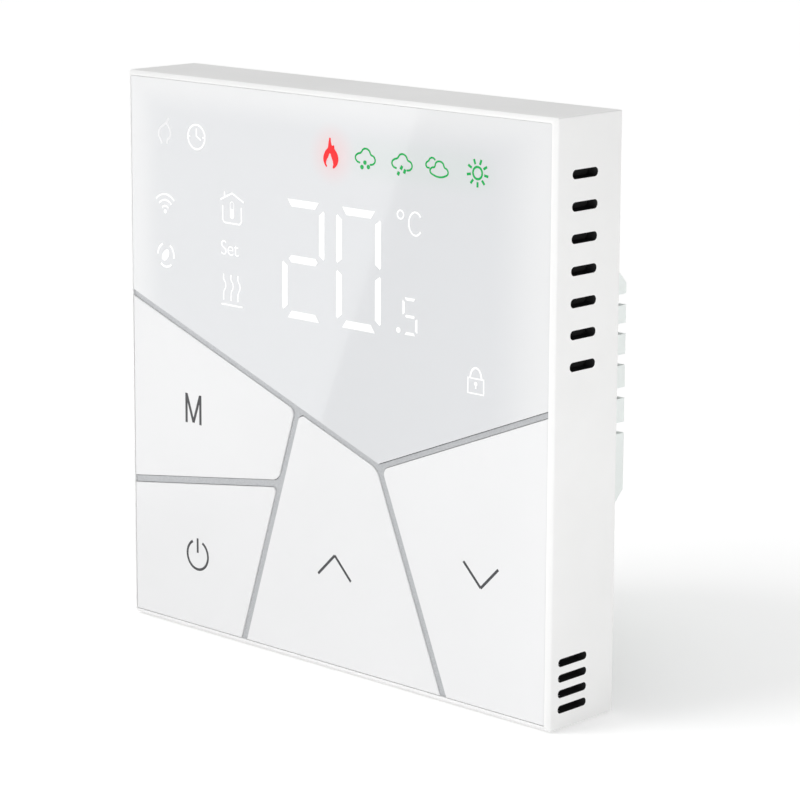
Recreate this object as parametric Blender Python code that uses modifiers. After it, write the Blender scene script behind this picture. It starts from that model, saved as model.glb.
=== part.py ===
"""Wall thermostat: a square room thermostat whose front unit clips onto a recessed wall unit.

The origin is the centre of the wall plane. The face looks along -Y, so the front unit lies at
y < 0 and the rear housing, which goes into the wall box, lies at y > 0. +Z is up.
Sizes are in millimetres, and each shape is turned into metres as it is made.
"""

import math

import bmesh
import bpy
from mathutils import Matrix, Vector

MM = 0.001
FIT = 0.3  # gap between pieces that rest on each other

# ---- the face, in x (right) and z (up) from its centre ----
FACE = 86.0  # side of the square front
DEPTH = 14.2  # how far the front unit stands off the wall
RIM = 0.65  # width of the case's edge around the keys and the lens
RIM_GAP = 0.15  # between that edge and the keys
WALL = 1.8  # thickness of the case
LENS_SEAM = 0.9  # silver line between the lens and the keys
KEY_SEAM = 1.1  # silver line between two keys
SEAM_GAP = 0.15  # clearance on each side of a silver rib
ROUND = 1.1  # radius of a key's corners where silver lines meet; at the rim they are square

HALF = FACE / 2
LENS_LEFT = (-HALF, 8.8)
LENS_FOOT = (10.25, -10.55)
LENS_RIGHT = (HALF, 2.5)
MENU_TOP = (-6.3, -4.6)
MENU_FOOT = (-10.0, -16.5)
MENU_LEFT = (-HALF, -21.3)
POWER_FOOT = (-18.2, -HALF)
UP_FOOT = (23.45, -HALF)

# ---- where each key pushes its switch ----
KEY_CENTRES = {
    "menu": (-28.8, -8.0),
    "power": (-28.1, -30.9),
    "up": (1.4, -27.0),
    "down": (30.2, -23.0),
}

# ---- what lights up behind the lens ----
ICON_COLUMNS = (-35.0, -28.0, 0.6, 7.3, 14.7, 21.3, 28.9)  # the row of signs along the top
DIGITS = (
    {"x": -4.9, "z": 17.8, "width": 9.2, "height": 17.0, "bar": 1.3},
    {"x": 6.2, "z": 17.8, "width": 9.2, "height": 17.0, "bar": 1.3},
    {"x": 16.3, "z": 12.2, "width": 2.8, "height": 5.2, "bar": 0.7},
)

# ---- depths, as y from the wall plane; a front is always below its back ----
FRONT = -DEPTH
KEY_BACK = FRONT + 1.5
LENS_BACK = FRONT + 2.0
FRAME_FRONT, FRAME_BACK = -11.9, -11.1
LEDGE = -10.8  # floor of the case's front pocket
SWITCH_FRONT, SWITCH_BACK = -10.8, -8.3
BOARD_FRONT, BOARD_BACK = -8.0, -6.8
HEADER_BACK = -4.7
COVER_FRONT, COVER_BACK = -4.4, -3.4
FLANGE_FRONT, FLANGE_BACK = -3.1, -1.9
YOKE_FRONT, YOKE_BACK = -1.6, 0.0
CASE_BACK = -0.2
POWER_FRONT, POWER_BACK = 1.0, 2.6
HOUSING_BACK = 23.8

# ---- key travel and switches ----
TRAVEL = 0.5
BOSS_RADIUS = 2.2
PLUNGER_RADIUS = 1.6

# ---- the wall unit ----
YOKE = 80.0  # side of the steel plate
SLOT_CENTRE = 30.0  # wall screw slots, left and right of the centre
SLOT_WIDTH, SLOT_HEIGHT = 4.6, 8.6
HOUSING_HALF = 25.0
HOUSING_LOW, HOUSING_HIGH = -25.5, 21.1
HOUSING_WALL = 1.6
CHAMFER = 7.5
REAR_VENTS = (11.1, 6.7, 1.95, -3.1, -8.45)  # heights of the slots in the housing's rear corners
REAR_VENT_HEIGHT = 1.65
RIB_BACK = 17.5  # end of the ribs that hold the mains board
TERMINALS = 8
TERMINAL_PITCH = 5.0
TERMINAL_BACK = 15.5
TERMINAL_Z = -18.3  # height of the clamp screws
POST = 38.6  # centre of the case's corner posts, from the middle both ways
LINK_Z = 11.8  # height of the plug between the two units
PINS_PER_ROW = 5
PIN_PITCH = 2.54
CORNERS = [(-1, -1), (1, -1), (1, 1), (-1, 1)]
HOUSING_SCREWS = [(x * 20.0, z) for z in (HOUSING_LOW - 3.3, HOUSING_HIGH + 3.3) for x in (-1, 1)]

MATERIALS = {
    "shell_white": ((0.80, 0.80, 0.79), 0.45, 0.0),
    "key_white": ((0.86, 0.86, 0.86), 0.25, 0.0),
    "lens_grey": ((0.72, 0.73, 0.75), 0.10, 0.0),
    "silver": ((0.56, 0.58, 0.60), 0.35, 0.6),
    "reflector_white": ((0.85, 0.85, 0.84), 0.6, 0.0),
    "steel": ((0.62, 0.63, 0.64), 0.35, 1.0),
    "board_green": ((0.05, 0.22, 0.10), 0.5, 0.0),
    "shield_can": ((0.70, 0.70, 0.68), 0.3, 1.0),
    "black_plastic": ((0.03, 0.03, 0.03), 0.5, 0.0),
    "terminal_green": ((0.06, 0.33, 0.16), 0.5, 0.0),
    "relay_blue": ((0.05, 0.18, 0.42), 0.45, 0.0),
    "coil_yellow": ((0.78, 0.62, 0.10), 0.5, 0.0),
    "capacitor_sleeve": ((0.06, 0.07, 0.10), 0.35, 0.0),
    "film_grey": ((0.55, 0.56, 0.55), 0.55, 0.0),
    "varistor_blue": ((0.04, 0.12, 0.33), 0.5, 0.0),
    "pin_gold": ((0.80, 0.62, 0.28), 0.3, 1.0),
}


# ---- outlines, as lists of (x, z) points that run anticlockwise ----
def rectangle(left, low, right, high):
    return [(left, low), (right, low), (right, high), (left, high)]


def square(half):
    return rectangle(-half, -half, half, half)


def circle(centre, radius, steps=12):
    turns = [2 * math.pi * step / steps for step in range(steps)]
    return [(centre[0] + radius * math.cos(a), centre[1] + radius * math.sin(a)) for a in turns]


def meeting(point, direction, other, other_direction):
    """Where two lines cross, each given by a point and a direction."""
    across = direction.cross(other_direction)
    along = (other - point).cross(other_direction) / across
    return point + direction * along


def inset(points, distances):
    """The outline with each edge moved inwards: distances[i] is for the edge that starts at points[i]."""
    corners = [Vector(point) for point in points]
    lines = []
    for index, start in enumerate(corners):
        direction = (corners[(index + 1) % len(corners)] - start).normalized()
        inwards = Vector((-direction.y, direction.x))
        lines.append((start + inwards * distances[index], direction))
    return [tuple(meeting(*lines[index - 1], *lines[index])) for index in range(len(lines))]


def rounded(points, radius, steps=3):
    """The outline with every corner turned into an arc, or only those whose radius isn't 0."""
    radii = radius if isinstance(radius, list) else [radius] * len(points)
    result = []
    for index, point in enumerate(points):
        corner = Vector(point)
        if not radii[index]:
            result.append(point)
            continue
        before = (Vector(points[index - 1]) - corner).normalized()
        after = (Vector(points[(index + 1) % len(points)]) - corner).normalized()
        half_angle = before.angle(after) / 2
        middle = (before + after).normalized()
        centre = corner + middle * (radii[index] / math.sin(half_angle))
        reach = radii[index] / math.tan(half_angle)
        first = corner + before * reach - centre
        sweep = first.angle_signed(corner + after * reach - centre)
        for step in range(steps + 1):
            turned = Matrix.Rotation(-sweep * step / steps, 2) @ first
            result.append(tuple(centre + turned))
    return result


def strip(points, width):
    """The outline of a line of the given width that runs through the points."""
    line = [Vector(point) for point in points]
    sides = {1: [], -1: []}
    for index, point in enumerate(line):
        ahead = (line[min(index + 1, len(line) - 1)] - point)
        behind = (point - line[max(index - 1, 0)])
        ahead = ahead.normalized() if ahead.length else behind.normalized()
        behind = behind.normalized() if behind.length else ahead
        across = Vector((-(ahead.y + behind.y), ahead.x + behind.x)).normalized()
        reach = width / 2 / across.dot(Vector((-ahead.y, ahead.x)))
        for side, found in sides.items():
            found.append(tuple(point + across * reach * side))
    return sides[-1] + sides[1][::-1]


# ---- shapes ----
def in_collection(piece, name):
    for holder in list(piece.users_collection):
        holder.objects.unlink(piece)
    bpy.data.collections[name].objects.link(piece)


def paint(piece, slot):
    piece.data.materials.clear()
    piece.data.materials.append(bpy.data.materials[slot])
    piece.data.shade_smooth()
    piece.data.set_sharp_from_angle(angle=math.radians(35))
    return piece


def part(piece, slot):
    """Makes the piece one of the thermostat's sub-parts."""
    in_collection(piece, "wall_thermostat")
    return paint(piece, slot)


def tool(piece):
    """Keeps the piece as a helper of a Boolean, out of the model."""
    in_collection(piece, "cutters")
    piece.hide_render = True
    piece.display_type = "WIRE"
    return piece


def closed_mesh(piece):
    """Welds the caps and turns the faces out, then moves the origin to the middle of the shape."""
    shape = bmesh.new()
    shape.from_mesh(piece.data)
    bmesh.ops.remove_doubles(shape, verts=shape.verts, dist=1e-6)
    bmesh.ops.recalc_face_normals(shape, faces=shape.faces)
    shape.to_mesh(piece.data)
    shape.free()
    corners = [Vector(corner) for corner in piece.bound_box]
    middle = sum(corners, Vector()) / len(corners)
    piece.data.transform(Matrix.Translation(-middle))
    piece.location = middle
    return piece


def prism(name, outlines, start, end, along="y"):
    """A plate with the first outline as its edge and the others as holes, from start to end.

    Along y an outline's points are (x, z), and along x they are (y, z).
    """
    curve = bpy.data.curves.new(name, "CURVE")
    curve.dimensions = "2D"
    curve.fill_mode = "BOTH"
    curve.extrude = (end - start) / 2 * MM
    for outline in outlines:
        spline = curve.splines.new("POLY")
        spline.points.add(len(outline) - 1)
        for point, (across, up) in zip(spline.points, outline):
            point.co = (across * MM, up * MM, 0, 1)
        spline.use_cyclic_u = True
    guide = bpy.data.objects.new(name + "_outline", curve)
    bpy.context.scene.collection.objects.link(guide)
    graph = bpy.context.evaluated_depsgraph_get()
    mesh = bpy.data.meshes.new_from_object(guide.evaluated_get(graph))
    bpy.data.objects.remove(guide)
    middle = (start + end) / 2 * MM
    if along == "y":
        turn = Matrix(((1, 0, 0, 0), (0, 0, -1, middle), (0, 1, 0, 0), (0, 0, 0, 1)))
    else:
        turn = Matrix(((0, 0, 1, middle), (1, 0, 0, 0), (0, 1, 0, 0), (0, 0, 0, 1)))
    mesh.transform(turn)
    piece = bpy.data.objects.new(name, mesh)
    bpy.context.scene.collection.objects.link(piece)
    return closed_mesh(piece)


def box(name, low, high):
    bpy.ops.mesh.primitive_cube_add(size=1)
    piece = bpy.context.object
    piece.name = name
    low, high = Vector(low) * MM, Vector(high) * MM
    piece.data.transform(Matrix.Diagonal((*(high - low), 1)))
    piece.location = (low + high) / 2
    return piece


def rod(name, start, end, radius, sides=16):
    """A round bar between two points that lie along one axis."""
    start, end = Vector(start) * MM, Vector(end) * MM
    bpy.ops.mesh.primitive_cylinder_add(vertices=sides, radius=radius * MM, depth=(end - start).length)
    piece = bpy.context.object
    piece.name = name
    piece.data.transform((end - start).to_track_quat("Z", "Y").to_matrix().to_4x4())
    piece.location = (start + end) / 2
    return piece


def gathered(name, pieces):
    """One object that holds the separate shapes of several."""
    together = bmesh.new()
    for piece in pieces:
        piece.data.transform(piece.matrix_basis)
        together.from_mesh(piece.data)
        bpy.data.objects.remove(piece)
    mesh = bpy.data.meshes.new(name)
    together.to_mesh(mesh)
    together.free()
    piece = bpy.data.objects.new(name, mesh)
    bpy.context.scene.collection.objects.link(piece)
    return piece


def combine(piece, other, operation):
    modifier = piece.modifiers.new(other.name, "BOOLEAN")
    modifier.operation = operation
    modifier.solver = "EXACT"
    modifier.object = tool(other)
    return piece


def cut(piece, other):
    return combine(piece, other, "DIFFERENCE")


def join(piece, other):
    return combine(piece, other, "UNION")


def soften(piece, width, segments=2):
    """Rounds the piece's sharp edges."""
    modifier = piece.modifiers.new("soft_edges", "BEVEL")
    modifier.width = width * MM
    modifier.segments = segments
    modifier.limit_method = "ANGLE"
    modifier.angle_limit = math.radians(50)
    return piece


def baked(piece):
    """Replaces the piece's mesh by the shape that its modifiers make."""
    graph = bpy.context.evaluated_depsgraph_get()
    mesh = bpy.data.meshes.new_from_object(piece.evaluated_get(graph))
    piece.modifiers.clear()
    piece.data = mesh
    return piece


# ---- the screen and the keys ----
def lens_outline(margin=0.0):
    """The lens: pointed at its foot, with its upper edges along the case's rim."""
    edge = RIM + RIM_GAP + margin
    seam = LENS_SEAM / 2 + margin
    points = [LENS_LEFT, LENS_FOOT, LENS_RIGHT, (HALF, HALF), (-HALF, HALF)]
    return inset(points, [seam, seam, edge, edge, edge])


def key_outline(corners, seams):
    """A key's outline. seams holds the width of the silver line along each edge, or 0 at the rim."""
    distances = [seam / 2 if seam else RIM + RIM_GAP for seam in seams]
    return inset(corners, distances)


def key_outlines():
    menu_corners = [LENS_LEFT, MENU_LEFT, MENU_FOOT, MENU_TOP]
    power_corners = [MENU_LEFT, (-HALF, -HALF), POWER_FOOT, MENU_FOOT]
    up_corners = [MENU_TOP, POWER_FOOT, UP_FOOT, LENS_FOOT]
    down_corners = [LENS_FOOT, UP_FOOT, (HALF, -HALF), LENS_RIGHT]
    return {
        "menu": rounded(key_outline(menu_corners, [0, KEY_SEAM, KEY_SEAM, LENS_SEAM]), [0, 0, ROUND, ROUND]),
        "power": rounded(key_outline(power_corners, [0, 0, KEY_SEAM, KEY_SEAM]), [0, 0, 0, ROUND]),
        "up": rounded(key_outline(up_corners, [KEY_SEAM, 0, KEY_SEAM, LENS_SEAM]), [ROUND, 0, 0, ROUND]),
        "down": rounded(key_outline(down_corners, [KEY_SEAM, 0, 0, LENS_SEAM]), [ROUND, 0, 0, 0]),
    }


def make_key(label, outline):
    """A key plate with a boss that reaches through the frame to its switch's plunger."""
    x, z = KEY_CENTRES[label]
    key = part(prism(label + "_key", [outline], FRONT, KEY_BACK), "key_white")
    soften(key, 0.2)
    join(key, rod(label + "_boss", (x, KEY_BACK - 0.4, z), (x, FRAME_FRONT, z), BOSS_RADIUS))


def make_switch(label):
    """A small push switch on the board: a square body with a well, and the plunger in the well."""
    x, z = KEY_CENTRES[label]
    side = 3.0
    low = (x - side, SWITCH_FRONT, z - side)
    high = (x + side, SWITCH_BACK, z + side)
    body = part(box(label + "_switch", low, high), "black_plastic")
    well_floor = SWITCH_FRONT + 1.9
    well_mouth = SWITCH_FRONT - 1.0
    cut(body, rod(label + "_well", (x, well_mouth, z), (x, well_floor, z), PLUNGER_RADIUS + 0.2))
    plunger_front = FRAME_FRONT + FIT
    plunger_back = well_floor - TRAVEL - 0.2
    plunger = rod(label + "_plunger", (x, plunger_front, z), (x, plunger_back, z), PLUNGER_RADIUS)
    part(plunger, "black_plastic")


def make_key_frame():
    """The silver frame: a plate behind the keys, with ribs that fill the seams between them."""
    half = HALF - RIM - 0.3
    vent_corner = [(half - 2.5, -half), (half - 2.5, -32.0), (half, -32.0)]
    outer = [(-half, -half), *vent_corner, (half, half), (-half, half)]
    holes = [circle(centre, BOSS_RADIUS + 0.8) for centre in KEY_CENTRES.values()]
    plate = prism("key_frame", [outer, lens_outline(2.5), *holes], FRAME_FRONT, FRAME_BACK)
    part(plate, "silver")
    rib_front = FRONT + 0.15
    rib_back = FRAME_FRONT + 0.4
    ribs = {
        "lens_rib": ([LENS_LEFT, LENS_FOOT, LENS_RIGHT], LENS_SEAM),
        "menu_rib": ([MENU_TOP, POWER_FOOT], KEY_SEAM),
        "power_rib": ([MENU_LEFT, MENU_FOOT], KEY_SEAM),
        "up_rib": ([LENS_FOOT, UP_FOOT], KEY_SEAM),
    }
    for name, (line, seam) in ribs.items():
        width = seam - 2 * SEAM_GAP
        join(plate, prism(name, [strip(shortened(line, half), width)], rib_front, rib_back))


def shortened(line, half):
    """The line with its ends brought in to a square of the given half side."""
    ends = [Vector(point) for point in line]
    for index, inner in ((0, 1), (-1, -2)):
        away = ends[index] - ends[inner]
        over = max(abs(ends[index].x), abs(ends[index].y)) - (half - 0.05)
        if over > 0:
            main = max(abs(away.x), abs(away.y))
            side_on = abs(ends[index].x) > abs(ends[index].y)
            main = abs(away.x) if side_on else abs(away.y)
            ends[index] = ends[inner] + away * (1 - over / main)
    return [tuple(end) for end in ends]


# ---- the front unit ----
def make_case():
    """The square case: a front pocket for lens and keys, an open back, and four corner posts."""
    outer = rounded(square(HALF), 0.4)
    case = part(prism("front_case", [outer], FRONT, CASE_BACK), "shell_white")
    soften(case, 0.45)
    pocket = HALF - RIM
    inside = HALF - WALL
    cut(case, prism("case_pocket", [square(pocket)], FRONT - 1, LEDGE))
    cut(case, prism("case_hollow", [square(inside)], LEDGE - 1, CASE_BACK + 1))
    posts = []
    holes = []
    for x_sign, z_sign in CORNERS:
        centre = (x_sign * POST, z_sign * POST)
        low = (centre[0] - 3.0, LEDGE + 0.2, centre[1] - 3.0)
        high = (centre[0] + 3.0, COVER_FRONT - FIT, centre[1] + 3.0)
        posts.append(box("post", low, high))
        start = (centre[0], COVER_FRONT, centre[1])
        holes.append(rod("post_hole", start, (centre[0], -10.0, centre[1]), 1.3, 10))
    join(case, gathered("case_posts", posts))
    cut(case, gathered("post_holes", holes))
    cut(case, gathered("case_vents", vent_cutters()))
    notch = box("release_notch", (-5, -1.6, -HALF - 1), (5, 1, -HALF + WALL + 1))
    cut(case, notch)


def slot_outline(start, end, z, height):
    """A slot with round ends, as (y, z) points."""
    radius = height / 2
    turns = [math.pi * step / 4 for step in range(5)]
    right = [(end - radius + radius * math.sin(a), z - radius * math.cos(a)) for a in turns]
    left = [(start + radius - radius * math.sin(a), z + radius * math.cos(a)) for a in turns]
    return right + left


def vent_cutters():
    """Seven heat vents high on each side, and four by the room sensor low on the right."""
    cutters = []
    for index in range(7):
        outline = slot_outline(FRONT + 3.5, FRONT + 8.9, 35.0 - 4.44 * index, 1.3)
        for sign in (-1, 1):
            span = sorted((sign * (HALF - WALL - 0.5), sign * (HALF + 1)))
            cutters.append(prism("vent", [outline], *span, along="x"))
    for index in range(4):
        outline = slot_outline(FRONT + 2.0, FRONT + 8.1, -33.4 - 2.25 * index, 1.15)
        cutters.append(prism("sensor_vent", [outline], POST + 0.5, HALF + 1, along="x"))
    return cutters


def make_front_inside():
    """The lens and what stands behind it, back to the cover that closes the front unit."""
    lens = part(prism("display_lens", [lens_outline()], FRONT, LENS_BACK), "lens_grey")
    soften(lens, 0.15)
    make_display_module()
    half = 40.0
    notch = POST - 3.0 - FIT
    board = notched_square(half, notch)
    part(prism("display_board", [board], BOARD_FRONT, BOARD_BACK), "board_green")
    sensor = rod("room_sensor", (38, BOARD_FRONT - 1.5, -33), (38, BOARD_FRONT - 1.5, -28), 1.2)
    part(sensor, "black_plastic")
    wifi = box("wifi_module", (12, BOARD_BACK + FIT, 12), (28, HEADER_BACK, 36))
    part(wifi, "shield_can")
    make_header()
    holes = [rectangle(-8.5, LINK_Z - 4, 8.5, LINK_Z + 4)]
    holes += [circle((x * POST, z * POST), 1.4, 10) for x, z in CORNERS]
    holes += [circle(place, 2.8) for place in HOUSING_SCREWS]
    cover = prism("inner_cover", [square(HALF - WALL - FIT), *holes], COVER_FRONT, COVER_BACK)
    part(cover, "shell_white")


def notched_square(half, notch):
    """A square without its four corners, so that it clears the posts."""
    return quarter_turns([(half, notch), (notch, notch), (notch, half)])


def quarter_turns(points):
    """The points four times over, each time a quarter turn further round."""
    outline = []
    for quarter in range(4):
        turn = Matrix.Rotation(math.pi / 2 * quarter, 2)
        outline += [tuple(turn @ Vector(point)) for point in points]
    return outline


def make_display_module():
    """The light block behind the lens, with a well for each bar of the digits."""
    outline = [(-38.5, 10.7), (-16, 2.5), (33, 2.5), (33, 38.5), (-35, 38.5), (-35, 35), (-38.5, 35)]
    module = part(prism("display_module", [outline], FRAME_FRONT, SWITCH_BACK), "reflector_white")
    openings = [(x - 2.2, 31.9, x + 2.2, 36.6) for x in ICON_COLUMNS]
    for digit in DIGITS:
        openings += segment_bars(**digit)
    mouth, floor = FRAME_FRONT - 1, FRAME_FRONT + 1.5
    wells = [box("well", (left, mouth, low), (right, floor, high)) for left, low, right, high in openings]
    cut(module, gathered("light_wells", wells))


def segment_bars(x, z, width, height, bar):
    """The seven bars of a digit, as rectangles that stay clear of each other."""
    clear = bar / 2 + 0.4
    bars = []
    for row in (-1, 0, 1):
        level = z + row * height / 2
        bars.append((x - width / 2 + clear, level - bar / 2, x + width / 2 - clear, level + bar / 2))
    for column in (-1, 1):
        middle = x + column * width / 2
        bars.append((middle - bar / 2, z + clear, middle + bar / 2, z + height / 2 - clear))
        bars.append((middle - bar / 2, z - height / 2 + clear, middle + bar / 2, z - clear))
    return bars


def pin_places():
    columns = [(column - (PINS_PER_ROW - 1) / 2) * PIN_PITCH for column in range(PINS_PER_ROW)]
    return [(x, LINK_Z + row * PIN_PITCH / 2) for x in columns for row in (-1, 1)]


def make_header():
    """The plug between the units: a strip on the display board with two rows of square pins."""
    strip_low = (-7.3, BOARD_BACK + FIT, LINK_Z - 2.9)
    header = part(box("link_header", strip_low, (7.3, HEADER_BACK, LINK_Z + 2.9)), "black_plastic")
    pins = []
    for x, z in pin_places():
        low = (x - 0.32, HEADER_BACK - 0.8, z - 0.32)
        pins.append(box("pin", low, (x + 0.32, 0.2, z + 0.32)))
    join(header, gathered("header_pins", pins))


# ---- the wall unit ----
def make_yoke():
    """The steel plate against the wall: a window for the housing, two screw slots and clip tabs."""
    half = YOKE / 2
    tab = HALF - WALL - 0.3
    side = [(half, -22), (tab, -21.5), (tab, -14.5), (half, -14)]
    side += [(half, 14), (tab, 14.5), (tab, 21.5), (half, 22)]
    outer = quarter_turns(side + [(half, half - 4), (half - 4, half)])
    clear = 0.5
    low, high = HOUSING_LOW - clear, HOUSING_HIGH + clear
    window = rectangle(-HOUSING_HALF - clear, low, HOUSING_HALF + clear, high)
    holes = [window]
    for sign in (-1, 1):
        x = sign * SLOT_CENTRE
        edges = rectangle(x - SLOT_WIDTH / 2, -SLOT_HEIGHT / 2, x + SLOT_WIDTH / 2, SLOT_HEIGHT / 2)
        holes.append(rounded(edges, SLOT_WIDTH / 2 - 0.1, 4))
    holes += [circle(place, 1.3, 10) for place in HOUSING_SCREWS]
    part(prism("base_plate", [outer, *holes], YOKE_FRONT, YOKE_BACK), "steel")


def housing_profile(wall, front):
    """The side view of the housing as (y, z) points, wall thinner all round than the outside."""
    back = HOUSING_BACK - wall
    low, high = HOUSING_LOW + wall, HOUSING_HIGH - wall
    slope = CHAMFER - wall * (2 - math.sqrt(2))
    lower = [(front, low), (back - slope, low), (back, low + slope)]
    upper = [(back, high - slope), (back - slope, high), (front, high)]
    return lower + upper


def make_housing():
    """The deep box in the wall, with its front flange, side vents and the terminals' window."""
    flange_edge = rectangle(-26, HOUSING_LOW - 6.5, 26, HOUSING_HIGH + 6.5)
    holes = [circle(place, 1.3, 10) for place in HOUSING_SCREWS]
    flange = prism("rear_housing", [rounded(flange_edge, 2), *holes], FLANGE_FRONT, FLANGE_BACK)
    housing = part(flange, "shell_white")
    outside = housing_profile(0, FLANGE_FRONT + 0.6)
    join(housing, prism("housing_body", [outside], -HOUSING_HALF, HOUSING_HALF, "x"))
    inner = HOUSING_HALF - HOUSING_WALL
    inside = housing_profile(HOUSING_WALL, FLANGE_FRONT - 1)
    cut(housing, prism("housing_hollow", [inside], -inner, inner, "x"))
    ribs = []
    vents = []
    for sign in (-1, 1):
        for z in (16.5, -12.0):
            low, high = sorted((sign * (inner - 1.9), sign * (inner + 0.6)))
            ribs.append(box("rib", (low, POWER_BACK + FIT, z - 1), (high, RIB_BACK, z + 1)))
        for z in REAR_VENTS:
            low, high = sorted((sign * 19, sign * (HOUSING_HALF + 1)))
            half = REAR_VENT_HEIGHT / 2
            vents.append(box("vent", (low, 15, z - half), (high, HOUSING_BACK + 1, z + half)))
    join(housing, gathered("board_ribs", ribs))
    cut(housing, gathered("housing_vents", vents))
    window = box("terminal_window", (-21.6, 6, HOUSING_LOW - 1), (21.6, HOUSING_BACK + 1, -17))
    cut(housing, window)


def make_power_board():
    """The mains board and what is soldered to its rear."""
    part(box("power_board", (-23, POWER_FRONT, -23), (23, POWER_BACK, 19.1)), "board_green")
    foot = POWER_BACK + FIT
    soften(part(box("relay", (-20.5, foot, -11), (-1.5, foot + 15.3, 4.5)), "relay_blue"), 0.5, 1)
    soften(part(box("transformer", (3.5, foot, -10.5), (19.5, foot + 12.5, 3.5)), "coil_yellow"), 0.8, 1)
    soften(part(box("film_capacitor", (-20.5, foot, 6.5), (-7.5, foot + 11, 11.5)), "film_grey"), 0.5, 1)
    soften(part(box("fuse", (-20, foot, 13.2), (-11.5, foot + 7.5, 17.2)), "black_plastic"), 0.4, 1)
    part(rod("input_capacitor", (14.5, foot, 11), (14.5, foot + 12.5, 11), 5.0, 20), "capacitor_sleeve")
    part(rod("output_capacitor", (5.5, foot, 9), (5.5, foot + 11, 9), 3.15, 16), "capacitor_sleeve")
    part(rod("varistor", (-4.5, foot + 4.6, 10), (-1.0, foot + 4.6, 10), 4.5, 20), "varistor_blue")


def make_link_socket():
    """The socket on the mains board that the front unit's pins go into."""
    low = (-7.3, COVER_BACK + 0.5, LINK_Z - 2.9)
    socket = part(box("link_socket", low, (7.3, POWER_FRONT - FIT, LINK_Z + 2.9)), "black_plastic")
    holes = []
    for x, z in pin_places():
        low = (x - 0.5, COVER_BACK - 0.5, z - 0.5)
        holes.append(box("pin_hole", low, (x + 0.5, 0.45, z + 0.5)))
    cut(socket, gathered("pin_holes", holes))


def terminal_places():
    return [(index - (TERMINALS - 1) / 2) * TERMINAL_PITCH for index in range(TERMINALS)]


def make_terminal_block():
    """The row of terminals: wires go in from below, and a screw at the rear clamps each one."""
    low = (-20.6, POWER_BACK + FIT, -23.0)
    block = part(box("terminal_block", low, (20.6, TERMINAL_BACK, -13.5)), "terminal_green")
    wells = []
    for x in terminal_places():
        wells.append(rod("wire_hole", (x, 8.4, -24), (x, 8.4, -16.5), 1.5, 12))
        wells.append(rod("screw_well", (x, TERMINAL_BACK + 1, TERMINAL_Z), (x, 11.2, TERMINAL_Z), 1.9, 12))
    cut(block, gathered("terminal_wells", wells))


# ---- screws ----
def make_screws(name, places, points_back, head_radius, head_height, shank_radius, length):
    """Equal slotted screws whose heads' undersides are at the places. They share one mesh."""
    profile = [(0, head_height), (head_radius * 0.85, head_height), (head_radius, head_height * 0.7)]
    profile += [(head_radius, 0), (shank_radius, 0), (shank_radius, -length + shank_radius), (0, -length)]
    mesh = bpy.data.meshes.new(name)
    points = [(x * MM, 0, z * MM) for x, z in profile]
    mesh.from_pydata(points, [(index, index + 1) for index in range(len(points) - 1)], [])
    first = bpy.data.objects.new(name + "_1", mesh)
    bpy.context.scene.collection.objects.link(first)
    turning = first.modifiers.new("turned", "SCREW")
    turning.steps = turning.render_steps = 12
    turning.use_merge_vertices = True
    turning.merge_threshold = 0.00001
    slot_low = (-head_radius - 1, -0.3, head_height * 0.5)
    slot = box(name + "_slot", slot_low, (head_radius + 1, 0.3, head_height + 1))
    cut(first, slot)
    part(first, "steel")
    baked(first)
    bpy.data.objects.remove(slot)
    turn = Matrix.Rotation(-math.pi / 2 if points_back else math.pi / 2, 4, "X")
    for index, place in enumerate(places):
        screw = first if index == 0 else first.copy()
        screw.name = f"{name}_{index + 1}"
        screw.matrix_basis = Matrix.Translation(Vector(place) * MM) @ turn
        in_collection(screw, "wall_thermostat")


def make_all_screws():
    cover_places = [(x * POST, COVER_BACK + FIT, z * POST) for x, z in CORNERS]
    make_screws("cover_screw", cover_places, True, 1.9, 1.0, 1.0, 6.2)
    housing_places = [(x, FLANGE_FRONT - FIT, z) for x, z in HOUSING_SCREWS]
    make_screws("housing_screw", housing_places, False, 2.1, 1.1, 1.0, 4.6)
    terminal_heads = [(x, TERMINAL_BACK - 2.2, TERMINAL_Z) for x in terminal_places()]
    make_screws("terminal_screw", terminal_heads, True, 1.6, 1.2, 1.0, 1.6)


def clear_scene():
    for piece in list(bpy.data.objects):
        bpy.data.objects.remove(piece)
    for name in ("wall_thermostat", "cutters"):
        bpy.context.scene.collection.children.link(bpy.data.collections.new(name))


def make_materials():
    for name, (colour, roughness, metallic) in MATERIALS.items():
        material = bpy.data.materials.new(name)
        material.use_nodes = True
        shader = material.node_tree.nodes["Principled BSDF"]
        shader.inputs["Base Color"].default_value = (*colour, 1)
        shader.inputs["Roughness"].default_value = roughness
        shader.inputs["Metallic"].default_value = metallic


clear_scene()
make_materials()
for key_label, key_edge in key_outlines().items():
    make_key(key_label, key_edge)
    make_switch(key_label)
make_key_frame()
make_case()
make_front_inside()
make_yoke()
make_housing()
make_power_board()
make_link_socket()
make_terminal_block()
make_all_screws()
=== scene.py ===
import math

import bpy
from mathutils import Matrix, Vector


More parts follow.
